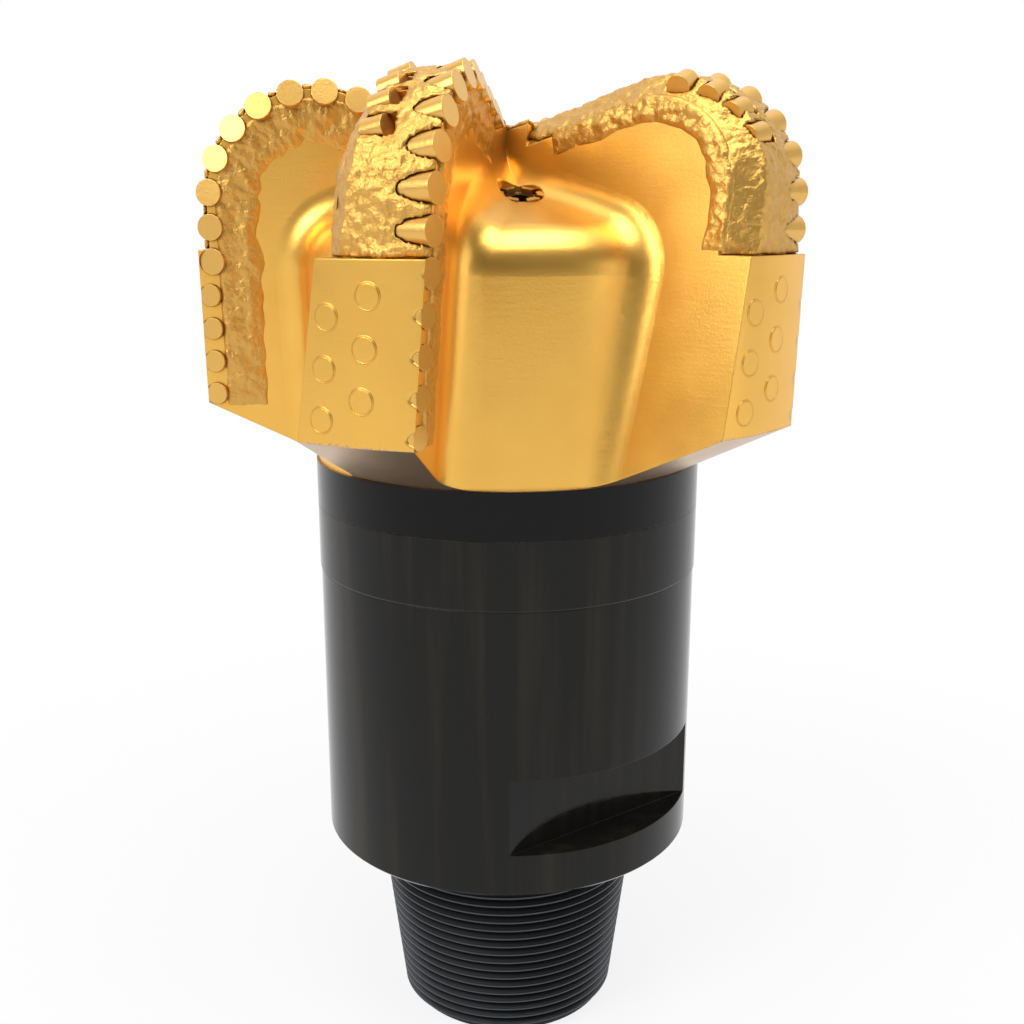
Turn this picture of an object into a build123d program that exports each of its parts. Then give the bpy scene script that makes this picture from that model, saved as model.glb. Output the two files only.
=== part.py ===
"""Steel-body fixed-cutter drill bit: a five-bladed crown with brazed cutters, welded to a shank
with breaker slots and a tapered pin.

Millimetres. +Z runs up from the pin's end face (Z = 0, on the bit's axis) to the cutting face.
Blade 1 points along -X; the others follow every 72 degrees, counter-clockwise seen from +Z.
The bit turns counter-clockwise seen from +Z, so each blade leads with its counter-clockwise side.
"""

import os
from math import cos, hypot, radians, sin, sqrt, tan

from build123d import *

# Overall
GAUGE_RADIUS = 190.5  # half of the hole size, 15 in
BLADES = 5
BLADE_STEP = 360 / BLADES
FIRST_BLADE_AZIMUTH = 180

# Pin connection, 7 5/8 in regular: 1 in 4 taper on the diameter
PIN_LENGTH = 133.35
PIN_CREST_RADIUS = 88.9  # at the shoulder
THREAD_DEPTH = 3.75
PIN_TAPER = 1 / 8  # radius lost for each millimetre
PIN_NOSE_CHAMFER = 3.0
WATERWAY_RADIUS = 47.6

# Shank
SHANK_RADIUS = 122.5
SHANK_LENGTH = 181.65  # make-up shoulder to weld
SHANK_TOP = PIN_LENGTH + SHANK_LENGTH
SHANK_EDGE_CHAMFER = 2.0
SPIGOT_RADIUS = 95.0
SPIGOT_LENGTH = 60.0
BREAKER_AZIMUTH = -59.0
BREAKER_SLOT_DEPTH = 24.5
BREAKER_FLAT_DISTANCE = SHANK_RADIUS - BREAKER_SLOT_DEPTH  # axis to flat
BREAKER_RISE = 27.65  # shoulder to slot
BREAKER_BOTTOM = PIN_LENGTH + BREAKER_RISE
BREAKER_HEIGHT = 49.0

# Weld band between shank and crown, and the crown's plain neck
WELD_HEIGHT = 42.0
WELD_DEPTH = 12.0
WELD_TOP = SHANK_TOP + WELD_HEIGHT
NECK_RADIUS = SHANK_RADIUS + 0.7
NECK_HEIGHT = 29.0

# Crown envelope: pad cylinder, shoulder arc, inward cone
CROWN_BASE = WELD_TOP + NECK_HEIGHT  # top of the neck
PAD_BOTTOM = CROWN_BASE + 34.0
PAD_HEIGHT = 95.0
PAD_TOP = PAD_BOTTOM + PAD_HEIGHT
CUTTER_RADIUS = 8.0
NOSE_ARC_RADIUS = 65.5  # on the cutters' centre line
NOSE_ARC_HEIGHT = PAD_TOP + 27.0
NOSE_ARC_CENTRE = GAUGE_RADIUS - CUTTER_RADIUS - NOSE_ARC_RADIUS
CONE_ANGLE = 15.3
CROWN_TOP = NOSE_ARC_HEIGHT + NOSE_ARC_RADIUS + 32.5  # clear above everything
BLADE_TOP_RISE = 1.0  # steel above the cutters' centre line
HARDFACING_THICKNESS = 2.5
BEVEL_WIDTH = 13.0  # flat at 45 degrees along each blade top's trailing edge
BEVEL_END = 26.0  # the bevel runs in to here, near the axis
BEVEL_LIFT = 0.2  # it starts this far above the pad

# Hub, the floor of the junk slots
HUB_BASE_RADIUS = NECK_RADIUS - 1.7
HUB_SHOULDER_RADIUS = HUB_BASE_RADIUS + 4.5
HUB_SHOULDER_HEIGHT = CROWN_BASE + 139.0
HUB_TOP_SLOPE = 18.0
HUB_SHOULDER_FILLET = 28.0
HUB_RUN_OUT = 50.0  # carried this far below the crown while the slots are cut
SLOT_FILLET = 20.0

# Blade sides: the distance of each face from the blade's radial plane
LEAD_HEIGHT = CROWN_BASE + 142.0  # where the leading face crosses the radial plane
LEAD_TILT = 0.08
TRAIL_OFFSET = 29.0  # at the axis, at PAD_TOP
TRAIL_FLARE = 0.18
TRAIL_TILT = 0.17

# Cutters
CUTTER_PITCH = 20.5
CUTTER_PITCH_STAGGER = 0.2  # each blade's pitch is this much shorter than the last one's
CUTTER_LENGTH = 20.0
SHORT_CUTTER_LENGTH = 13.0
CENTRAL_RADIUS = 45.0  # cutters nearer the axis are short
CUTTER_STAND = 1.5  # of the face's centre ahead of the blade's leading face
BACK_RAKE = 20.0
FIRST_CUTTER_HEIGHT = PAD_TOP - 7.0
CENTRE_RADII = (9.0, 46.0, 27.0, 46.0, 27.0)  # innermost cutter of each blade
SMALL_CUTTER_RADIUS = 6.72
GAUGE_CUTTER_COUNT = 4
GAUGE_CUTTER_INSET = 5.5  # centre inside the gauge; the faces are ground flush
BACKUP_ANGLES = (33, 48, 63, 80)  # along the shoulder arc
BACKUP_SETBACK = 30.0
POCKET_REACH = 12.0  # how far a pocket runs on ahead of its cutter
BACKUP_REACH = 6.0
POCKET_GAP = 0.5  # hardfacing stops this far from a cutter

# Gauge inserts
INSERT_RADIUS = 6.5
INSERT_LENGTH = 12.0
INSERT_PROUD = 0.3
INSERT_ROWS = 3
INSERT_ROW_PITCH = 26.4
INSERT_COLUMNS = ((9.6, 18.0), (17.0, 29.0))  # degrees behind the blade, depth below PAD_TOP
INSERT_COLUMN_SLANT = 0.03  # degrees for each millimetre down
INSERT_CLEARANCE = 5.0  # drill starts this far outside the pad

# Hydraulics
PLENUM_RADIUS = 52.0
PLENUM_TOP = HUB_SHOULDER_HEIGHT - 55.0
PLENUM_CHAMFER = 20.0
PORT_DISTANCE = 58.0
PORT_LEAD = 19.0  # degrees ahead of the blade
PORT_RADIUS = 13.5
PORT_DEPTH = 30.0
PORT_MOUTH = 12.0  # cut this far above the slot floor
PASSAGE_RADIUS = 9.5
PASSAGE_LENGTH = 95.0
RETAINER_DEPTH = 18.0
RETAINER_PROUD = 1.0
NOZZLE_SETBACK = 2.0
NOZZLE_NECK_RADIUS = 9.6
NOZZLE_ORIFICE_RADIUS = 6.0
ORIFICE_LENGTH = 7.0
NOTCHES = 6
NOTCH_WIDTH = 4.5
NOTCH_DEPTH = 3.0
SEAL_SIZE = 3.2
SEAL_DEPTH = 24.0

FAR = GAUGE_RADIUS + 130.0  # outside everything


def turned(profile):
    """Solid of revolution about Z from edges drawn as (radius, height)."""
    return revolve(Plane.XZ * make_face(profile), axis=Axis.Z)


def blade_azimuth(blade):
    return FIRST_BLADE_AZIMUTH + BLADE_STEP * blade


def cylinder_between(start, direction, radius, length):
    """Cylinder of the given radius from start, running along direction."""
    base = Plane(origin=start, z_dir=direction)
    return extrude(base * Circle(radius), amount=length)


def blade_top_profile(rise):
    """Edge radius and the arc's three points for blade tops at rise above the cutters' line."""
    radius = NOSE_ARC_RADIUS + rise
    end = radians(90 + CONE_ANGLE)
    tangent = (NOSE_ARC_CENTRE + radius * cos(end), NOSE_ARC_HEIGHT + radius * sin(end))
    middle = (NOSE_ARC_CENTRE + radius * cos(end / 2), NOSE_ARC_HEIGHT + radius * sin(end / 2))
    edge = (NOSE_ARC_CENTRE + radius, NOSE_ARC_HEIGHT)
    peak = (0, tangent[1] - tangent[0] * tan(radians(CONE_ANGLE)))
    return edge, middle, tangent, peak


def envelope(rise, pad_radius):
    """The crown's outside, with the blade tops at rise above the cutters' centre line."""
    edge, middle, tangent, peak = blade_top_profile(rise)
    return turned([
        Polyline(tangent, peak, (0, CROWN_BASE), (HUB_BASE_RADIUS, CROWN_BASE), (pad_radius, PAD_BOTTOM),
                 (pad_radius, PAD_TOP), (edge[0], PAD_TOP), edge),
        ThreePointArc(edge, middle, tangent),
    ])


def hub():
    """Floor of the junk slots, carried below the crown so that slot fillets run out cleanly."""
    low = CROWN_BASE - HUB_RUN_OUT
    flare = (HUB_SHOULDER_RADIUS - HUB_BASE_RADIUS) / (HUB_SHOULDER_HEIGHT - CROWN_BASE)
    foot = (HUB_BASE_RADIUS - HUB_RUN_OUT * flare, low)
    shoulder = (HUB_SHOULDER_RADIUS, HUB_SHOULDER_HEIGHT)
    peak = (0, HUB_SHOULDER_HEIGHT + HUB_SHOULDER_RADIUS * tan(radians(HUB_TOP_SLOPE)))
    return turned([
        Line((0, low), foot),
        FilletPolyline(foot, shoulder, peak, radius=HUB_SHOULDER_FILLET),
        Line(peak, (0, low)),
    ])


def hub_top_height(radius):
    return HUB_SHOULDER_HEIGHT + (HUB_SHOULDER_RADIUS - radius) * tan(radians(HUB_TOP_SLOPE))


def lead(height):
    """Forward distance of the leading face from the blade's radial plane."""
    return (height - LEAD_HEIGHT) * LEAD_TILT


def trail(along, height):
    """Forward distance of the trailing face, which is negative: it lies behind."""
    return -(TRAIL_OFFSET + TRAIL_FLARE * along + (PAD_TOP - height) * TRAIL_TILT)


def slot_outline(height):
    """Wedge from one blade's leading face to the next blade's trailing face, at one height."""
    c, s = cos(radians(BLADE_STEP)), sin(radians(BLADE_STEP))
    # A point at 'along' on the next blade's trailing face, in this blade's frame.
    def behind_next(along):
        back = trail(along, height)
        return (along * c - back * s, along * s + back * c)
    # The trailing face is a straight line here, so its meeting with the leading face is linear.
    near, far = behind_next(0), behind_next(FAR)
    share = (lead(height) - near[1]) / (far[1] - near[1])
    apex = (near[0] + share * (far[0] - near[0]), lead(height))
    outer = (FAR, lead(height))
    corner = (outer[0] + far[0], outer[1] + far[1])
    return Pos(0, 0, height) * make_face(Polyline(apex, outer, corner, far, close=True))


def bevel_section(rise, inset, forward):
    """Everything outside the blade-top profile, inset, on a plane parallel to the trailing face."""
    def place(radius, height):
        # The point on the plane at this distance from the bit's axis, found by repeated steps.
        along = radius
        for _ in range(12):
            along = sqrt(radius**2 - (trail(along, height) + forward) ** 2)
        return Vector(along, trail(along, height) + forward, height)

    def level(along, height):
        return Vector(along, trail(along, height) + forward, height)

    arc_radius = NOSE_ARC_RADIUS + rise - inset
    low = PAD_TOP + BEVEL_LIFT
    last = radians(90 + CONE_ANGLE)
    turns = [last * step / 8 for step in range(9)]
    arc = [place(NOSE_ARC_CENTRE + arc_radius * cos(turn), NOSE_ARC_HEIGHT + arc_radius * sin(turn))
           for turn in turns]
    foot = place(NOSE_ARC_CENTRE + arc_radius, low)
    fall = (hypot(arc[-1].X, arc[-1].Y) - BEVEL_END - 8) * tan(radians(CONE_ANGLE))
    inner = level(BEVEL_END, arc[-1].Z - fall)
    high = CROWN_TOP + 60
    corners = [inner, level(BEVEL_END, high), level(FAR, high), level(FAR, low), foot]
    outside = [Line(start, end) for start, end in zip(corners, corners[1:])]
    return Wire([Line(foot, arc[0]), Spline(*arc), Line(arc[-1], inner)] + outside)


def bevel_tools(rise, width):
    """Solids that bevel the trailing edge of every blade top."""
    behind, ahead = bevel_section(rise, width + 1, -1), bevel_section(rise, -2, width + 2)
    tool = Solid.make_loft([behind, ahead], ruled=True)
    return [Rot(0, 0, blade_azimuth(blade)) * tool for blade in range(BLADES)]


def bladed(rise, bevel, slots):
    """Five blades on the hub, with blade tops at rise above the cutters' centre line."""
    return envelope(rise, GAUGE_RADIUS) - slots - bevel_tools(rise, bevel)


def junk_slot():
    """Solid that one junk slot removes, in blade 0's frame along +X, with filleted floor corners."""
    low, high = CROWN_BASE - HUB_RUN_OUT + 5, CROWN_TOP
    wedge = loft([slot_outline(low), slot_outline(high)], ruled=True) - hub()

    def meets_floor(edge):
        middle, start, end = edge @ 0.5, edge @ 0, edge @ 1
        inside = hypot(middle.X, middle.Y) < HUB_SHOULDER_RADIUS + 5
        return inside and middle.Z < hub_top_height(0) + 19 and abs(start.Z - end.Z) > 3
    corners = [edge for edge in wedge.edges() if meets_floor(edge)]
    rounded = wedge.fillet(SLOT_FILLET, corners)
    above = Pos(0, 0, CROWN_BASE) * extrude(Rectangle(4 * FAR, 4 * FAR), amount=FAR)
    return rounded & above


class Seat:
    """Where a cutter sits: its face's centre and its axis, which points forward."""

    def __init__(self, blade, radius, height, normal, setback=0.0):
        azimuth = radians(blade_azimuth(blade))
        outward = Vector(cos(azimuth), sin(azimuth), 0)
        forward = Vector(-sin(azimuth), cos(azimuth), 0)
        offset = lead(height) - setback
        along = sqrt(radius**2 - offset**2)
        rake = radians(BACK_RAKE)
        face_normal = outward * normal[0] + Vector(0, 0, normal[1])
        self.axis = forward * cos(rake) + face_normal * sin(rake)
        self.centre = outward * along + forward * (offset + CUTTER_STAND) + Vector(0, 0, height)

    def solid(self, radius, length, reach=0.0):
        """Cylinder behind the face; reach carries it on in front, for a pocket."""
        front = self.centre + self.axis * reach
        return cylinder_between(front, -self.axis, radius, length + reach)


def on_profile(distance):
    """Radius, height and outward normal at a distance along the cutters' centre line."""
    straight = NOSE_ARC_HEIGHT - FIRST_CUTTER_HEIGHT
    if distance <= straight:
        return GAUGE_RADIUS - CUTTER_RADIUS, FIRST_CUTTER_HEIGHT + distance, (1, 0)
    turn = (distance - straight) / NOSE_ARC_RADIUS
    last = radians(90 + CONE_ANGLE)
    angle = min(turn, last)
    run = (turn - angle) * NOSE_ARC_RADIUS
    normal = (cos(angle), sin(angle))
    radius = NOSE_ARC_CENTRE + NOSE_ARC_RADIUS * normal[0] - run * normal[1]
    height = NOSE_ARC_HEIGHT + NOSE_ARC_RADIUS * normal[1] + run * normal[0]
    return radius, height, normal


def primary_seats(blade):
    """Seats of the main row, from the gauge to the centre."""
    pitch = CUTTER_PITCH - CUTTER_PITCH_STAGGER * blade
    seats = []
    step = 0
    while True:
        radius, height, normal = on_profile(step * pitch)
        if radius < CENTRE_RADII[blade] - pitch / 2:
            return seats
        length = CUTTER_LENGTH if radius > CENTRAL_RADIUS else SHORT_CUTTER_LENGTH
        seats.append((Seat(blade, max(radius, CENTRE_RADII[0]), height, normal), length))
        step += 1


def gauge_seats(blade):
    heights = [FIRST_CUTTER_HEIGHT - CUTTER_PITCH * (n + 1) for n in range(GAUGE_CUTTER_COUNT)]
    return [Seat(blade, GAUGE_RADIUS - GAUGE_CUTTER_INSET, height, (1, 0)) for height in heights]


def backup_seats(blade):
    seats = []
    for angle in BACKUP_ANGLES:
        normal = (cos(radians(angle)), sin(radians(angle)))
        radius = NOSE_ARC_CENTRE + NOSE_ARC_RADIUS * normal[0]
        height = NOSE_ARC_HEIGHT + NOSE_ARC_RADIUS * normal[1]
        seats.append(Seat(blade, radius, height, normal, BACKUP_SETBACK))
    return seats


def ground(cutters):
    """Trims cutters flush with the gauge."""
    gauge = Pos(0, 0, CROWN_BASE) * extrude(Circle(GAUGE_RADIUS), amount=FAR)
    return Compound([solid for cutter in cutters for solid in (cutter & gauge).solids()])


def cutter_sets(blade):
    """Cutters of one blade as (main row, gauge row, back-up row)."""
    main = ground([seat.solid(CUTTER_RADIUS, length) for seat, length in primary_seats(blade)])
    gauge = ground([seat.solid(SMALL_CUTTER_RADIUS, SHORT_CUTTER_LENGTH) for seat in gauge_seats(blade)])
    backup = ground([seat.solid(SMALL_CUTTER_RADIUS, SHORT_CUTTER_LENGTH) for seat in backup_seats(blade)])
    return main, gauge, backup


def pockets(blade, gap=0.0):
    """Holes for all of one blade's cutters, open to the front."""
    radius, small = CUTTER_RADIUS + gap, SMALL_CUTTER_RADIUS + gap
    holes = [seat.solid(radius, length, POCKET_REACH) for seat, length in primary_seats(blade)]
    holes += [seat.solid(small, SHORT_CUTTER_LENGTH, POCKET_REACH) for seat in gauge_seats(blade)]
    holes += [seat.solid(small, SHORT_CUTTER_LENGTH, BACKUP_REACH) for seat in backup_seats(blade)]
    return holes


def centre_pockets():
    """Clearance for each blade's innermost cutter, which may reach past its neighbours."""
    inner = [primary_seats(blade)[-1] for blade in range(BLADES)]
    return [seat.solid(CUTTER_RADIUS + POCKET_GAP, length + POCKET_GAP, 2.0) for seat, length in inner]


def insert_axes(blade):
    """Outward directions and surface points of one pad's inserts."""
    places = []
    for behind, depth in INSERT_COLUMNS:
        for row in range(INSERT_ROWS):
            drop = row * INSERT_ROW_PITCH
            azimuth = radians(blade_azimuth(blade) - behind - drop * INSERT_COLUMN_SLANT)
            outward = Vector(cos(azimuth), sin(azimuth), 0)
            height = Vector(0, 0, PAD_TOP - depth - drop)
            places.append((outward, outward * GAUGE_RADIUS + height))
    return places


def inserts(blade):
    """Wear buttons of one pad."""
    return Compound([
        cylinder_between(point + outward * INSERT_PROUD, -outward, INSERT_RADIUS, INSERT_LENGTH)
        for outward, point in insert_axes(blade)
    ])


def insert_holes(blade):
    depth = INSERT_LENGTH - INSERT_PROUD + INSERT_CLEARANCE
    return [
        cylinder_between(point + outward * INSERT_CLEARANCE, -outward, INSERT_RADIUS, depth)
        for outward, point in insert_axes(blade)
    ]


def port_plane(slot):
    """Plane on the slot floor with +Z out of the nozzle."""
    azimuth = radians(blade_azimuth(slot) + PORT_LEAD)
    outward = Vector(cos(azimuth), sin(azimuth), 0)
    tilt = radians(HUB_TOP_SLOPE)
    origin = outward * PORT_DISTANCE + Vector(0, 0, hub_top_height(PORT_DISTANCE))
    return Plane(origin=origin, z_dir=outward * sin(tilt) + Vector(0, 0, cos(tilt)))


def port_cut(slot):
    """Nozzle socket and the passage down to the plenum."""
    plane = port_plane(slot)
    socket = extrude(plane.offset(-PORT_DEPTH) * Circle(PORT_RADIUS), amount=PORT_DEPTH + PORT_MOUTH)
    passage = extrude(plane.offset(-PASSAGE_LENGTH) * Circle(PASSAGE_RADIUS), amount=PASSAGE_LENGTH)
    return [socket, passage]


def nozzle(slot):
    """Carbide nozzle: flange on the socket's floor, neck, tapered waterway and seal groove."""
    groove = PORT_RADIUS - SEAL_SIZE
    low, high = -SEAL_DEPTH - SEAL_SIZE / 2, -SEAL_DEPTH + SEAL_SIZE / 2
    section = Polyline(
        (NOZZLE_ORIFICE_RADIUS, -NOZZLE_SETBACK), (NOZZLE_NECK_RADIUS, -NOZZLE_SETBACK),
        (NOZZLE_NECK_RADIUS, -RETAINER_DEPTH), (PORT_RADIUS, -RETAINER_DEPTH), (PORT_RADIUS, high),
        (groove, high), (groove, low), (PORT_RADIUS, low), (PORT_RADIUS, -PORT_DEPTH),
        (PASSAGE_RADIUS, -PORT_DEPTH), (NOZZLE_ORIFICE_RADIUS, -NOZZLE_SETBACK - ORIFICE_LENGTH),
        close=True)
    return port_plane(slot).location * turned([section])


def retainer(slot):
    """Threaded ring over the nozzle's neck, with spanner notches in its rim."""
    ring = extrude(Circle(PORT_RADIUS) - Circle(NOZZLE_NECK_RADIUS), amount=RETAINER_DEPTH + RETAINER_PROUD)
    notches = [
        Rot(0, 0, n * 360 / NOTCHES) * Pos(PORT_RADIUS, 0, RETAINER_DEPTH + RETAINER_PROUD)
        * Box(2 * PORT_RADIUS - 2 * NOZZLE_NECK_RADIUS + 2, NOTCH_WIDTH, 2 * NOTCH_DEPTH)
        for n in range(NOTCHES)
    ]
    for notch in notches:
        ring -= notch
    return port_plane(slot).offset(-RETAINER_DEPTH).location * ring


def seal(slot):
    """Square ring in the nozzle's groove."""
    ring = extrude(Circle(PORT_RADIUS) - Circle(PORT_RADIUS - SEAL_SIZE), amount=SEAL_SIZE)
    return port_plane(slot).offset(-SEAL_DEPTH - SEAL_SIZE / 2).location * ring


def crown(slots):
    """Blades, junk slots, neck, plenum, ports and every pocket."""
    body = bladed(BLADE_TOP_RISE, BEVEL_WIDTH, slots)
    lip = SPIGOT_RADIUS
    body += turned([Polyline(
        (lip, SHANK_TOP), (NECK_RADIUS - WELD_DEPTH, SHANK_TOP), (NECK_RADIUS - WELD_DEPTH, WELD_TOP),
        (NECK_RADIUS, WELD_TOP), (NECK_RADIUS, CROWN_BASE), (0, CROWN_BASE),
        (0, SHANK_TOP + SPIGOT_LENGTH), (lip, SHANK_TOP + SPIGOT_LENGTH), close=True)])
    body -= turned([Polyline(
        (0, SHANK_TOP), (PLENUM_RADIUS, SHANK_TOP), (PLENUM_RADIUS, PLENUM_TOP - PLENUM_CHAMFER),
        (PLENUM_RADIUS - PLENUM_CHAMFER, PLENUM_TOP), (0, PLENUM_TOP), close=True)])
    tools = [cut for slot in range(BLADES) for cut in port_cut(slot)]
    for blade in range(BLADES):
        tools += pockets(blade) + insert_holes(blade)
    return body - tools


def shank():
    """Shank, spigot, waterway, breaker slots and the pin at its thread root."""
    root = PIN_CREST_RADIUS - THREAD_DEPTH
    nose = root - PIN_LENGTH * PIN_TAPER
    body = turned([Polyline(
        (WATERWAY_RADIUS, 0), (nose - PIN_NOSE_CHAMFER, 0), (nose + PIN_NOSE_CHAMFER * PIN_TAPER, PIN_NOSE_CHAMFER),
        (root, PIN_LENGTH), (SHANK_RADIUS - SHANK_EDGE_CHAMFER, PIN_LENGTH),
        (SHANK_RADIUS, PIN_LENGTH + SHANK_EDGE_CHAMFER), (SHANK_RADIUS, SHANK_TOP),
        (SPIGOT_RADIUS, SHANK_TOP), (SPIGOT_RADIUS, SHANK_TOP + SPIGOT_LENGTH),
        (WATERWAY_RADIUS, SHANK_TOP + SPIGOT_LENGTH), close=True)])
    middle = BREAKER_BOTTOM + BREAKER_HEIGHT / 2
    for side in (0, 180):
        depth = SHANK_RADIUS
        block = Pos(BREAKER_FLAT_DISTANCE + depth / 2, 0, middle) * Box(depth, 3 * SHANK_RADIUS, BREAKER_HEIGHT)
        body -= Rot(0, 0, BREAKER_AZIMUTH + side) * block
    return body


def girth_weld():
    """Weld metal that fills the groove between shank and crown."""
    inner = NECK_RADIUS - WELD_DEPTH
    return turned([Polyline(
        (inner, SHANK_TOP), (SHANK_RADIUS, SHANK_TOP), (NECK_RADIUS, SHANK_TOP + 1),
        (NECK_RADIUS, WELD_TOP), (inner, WELD_TOP), close=True)])


def overlay_sheet(slots):
    """Sheet of hardfacing over every blade top and bevel."""
    # A bevel raised by the same thickness as the top is narrower by this much.
    narrower = HARDFACING_THICKNESS * (sqrt(2) - 1)
    outer = bladed(BLADE_TOP_RISE + HARDFACING_THICKNESS, BEVEL_WIDTH - narrower, slots)
    return outer - bladed(BLADE_TOP_RISE, BEVEL_WIDTH, slots)


def blade_sector(blade):
    """Everything within half a step of one blade."""
    half = radians(BLADE_STEP / 2)
    reach = (FAR * cos(half), FAR * sin(half))
    outline = Polyline((0, 0), reach, (1.5 * FAR, 0), (reach[0], -reach[1]), close=True)
    return Rot(0, 0, blade_azimuth(blade)) * Pos(0, 0, CROWN_BASE) * extrude(make_face(outline), amount=FAR)


def hardfacing(blade, sheet):
    """Overlay on one blade's top, stopped short of the cutters."""
    piece = sheet & blade_sector(blade)
    for hole in pockets(blade, POCKET_GAP) + centre_pockets():
        piece = piece - hole
    return max(piece.solids(), key=lambda solid: solid.volume)


def export(name, shape):
    export_step(shape, os.path.join("parts", name + ".step"))


def main():
    os.makedirs("parts", exist_ok=True)
    slot = junk_slot()
    slots = [Rot(0, 0, blade_azimuth(blade)) * slot for blade in range(BLADES)]
    export("crown_body", crown(slots))
    export("shank", shank())
    export("girth_weld", girth_weld())
    sheet = overlay_sheet(slots)
    for blade in range(BLADES):
        number = blade + 1
        main_row, gauge_row, backup_row = cutter_sets(blade)
        export(f"main_cutters_{number}", main_row)
        export(f"gauge_cutters_{number}", gauge_row)
        export(f"backup_cutters_{number}", backup_row)
        export(f"gauge_inserts_{number}", inserts(blade))
        export(f"hardfacing_{number}", hardfacing(blade, sheet))
        export(f"nozzle_{number}", nozzle(blade))
        export(f"nozzle_retainer_{number}", retainer(blade))
        export(f"nozzle_seal_{number}", seal(blade))


main()
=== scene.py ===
"""Dresses the fixed-cutter drill bit: paint, weld overlay, thread, insert rims and a studio."""

from __future__ import annotations

import logging
import math
from dataclasses import dataclass, field
from enum import Enum
from typing import Iterator, Sequence

import bmesh
import bpy
from mathutils import Matrix, Vector, noise

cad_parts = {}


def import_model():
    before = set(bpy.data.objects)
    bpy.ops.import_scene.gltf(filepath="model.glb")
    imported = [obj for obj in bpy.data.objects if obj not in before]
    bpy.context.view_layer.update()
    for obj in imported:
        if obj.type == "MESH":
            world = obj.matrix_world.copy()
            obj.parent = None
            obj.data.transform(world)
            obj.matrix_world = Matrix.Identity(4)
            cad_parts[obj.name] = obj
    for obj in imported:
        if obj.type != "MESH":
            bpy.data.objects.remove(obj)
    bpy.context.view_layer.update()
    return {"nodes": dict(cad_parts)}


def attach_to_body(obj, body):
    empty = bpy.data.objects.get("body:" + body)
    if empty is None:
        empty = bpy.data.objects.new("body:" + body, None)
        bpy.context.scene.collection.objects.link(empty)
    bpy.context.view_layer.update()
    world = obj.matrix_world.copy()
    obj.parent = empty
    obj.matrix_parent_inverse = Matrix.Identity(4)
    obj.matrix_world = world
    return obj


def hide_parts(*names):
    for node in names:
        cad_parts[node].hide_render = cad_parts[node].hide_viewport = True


LOG = logging.getLogger("drill_bit")
MM = 0.001
BODY = "root"
BLADES = 5
GAUGE_RADIUS = 190.5 * MM
PAD_TOP = 515.0 * MM

Colour = tuple[float, float, float]
WHITE: Colour = (1.0, 1.0, 1.0)


def blade_azimuth(blade: int) -> float:
    """Azimuth of a blade's radial plane, in radians, for blade 0 to 4."""
    return math.radians(180 + 360 / BLADES * blade)


# --------------------------------------------------------------------------- shader expressions


class Maths(Enum):
    """Math node operations that expressions use."""

    ADD = "ADD"
    SUBTRACT = "SUBTRACT"
    MULTIPLY = "MULTIPLY"
    MINIMUM = "MINIMUM"
    MAXIMUM = "MAXIMUM"


class VectorMaths(Enum):
    """Vector Math node operations, with the socket that holds each one's result."""

    MULTIPLY = ("MULTIPLY", "Vector")
    LENGTH = ("LENGTH", "Value")
    DOT = ("DOT_PRODUCT", "Value")


class Ray(Enum):
    """Kinds of ray that a Light Path node tells apart."""

    CAMERA = "Is Camera Ray"
    GLOSSY = "Is Glossy Ray"
    THROUGH = "Is Transmission Ray"


@dataclass
class Signal:
    """A shader socket that takes part in Python expressions on values."""

    bench: "Bench"
    socket: bpy.types.NodeSocket

    def _with(self, operation: Maths, first: "Signal | float",
              second: "Signal | float") -> "Signal":
        """Adds one Math node.

        Args:
            operation: What the node does.
            first: Its first value.
            second: Its second value.

        Returns:
            The node's result.
        """
        settings = {"operation": operation.value}
        return self.bench.add("ShaderNodeMath", settings, {0: first, 1: second})

    def __add__(self, other: "Signal | float") -> "Signal":
        """Sum."""
        return self._with(Maths.ADD, self, other)

    __radd__ = __add__

    def __sub__(self, other: "Signal | float") -> "Signal":
        """Difference."""
        return self._with(Maths.SUBTRACT, self, other)

    def __rsub__(self, other: "Signal | float") -> "Signal":
        """Difference from a number."""
        return self._with(Maths.SUBTRACT, other, self)

    def __mul__(self, other: "Signal | float") -> "Signal":
        """Product."""
        return self._with(Maths.MULTIPLY, self, other)

    __rmul__ = __mul__

    def clamped(self) -> "Signal":
        """The value held between 0 and 1."""
        low = self._with(Maths.MAXIMUM, self, 0.0)
        return low._with(Maths.MINIMUM, low, 1.0)

    def step(self, low: float, high: float) -> "Signal":
        """A smooth rise from 0 at low to 1 at high."""
        settings = {"interpolation_type": "SMOOTHSTEP"}
        return self.bench.add("ShaderNodeMapRange", settings, {0: self, 1: low, 2: high})


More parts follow.
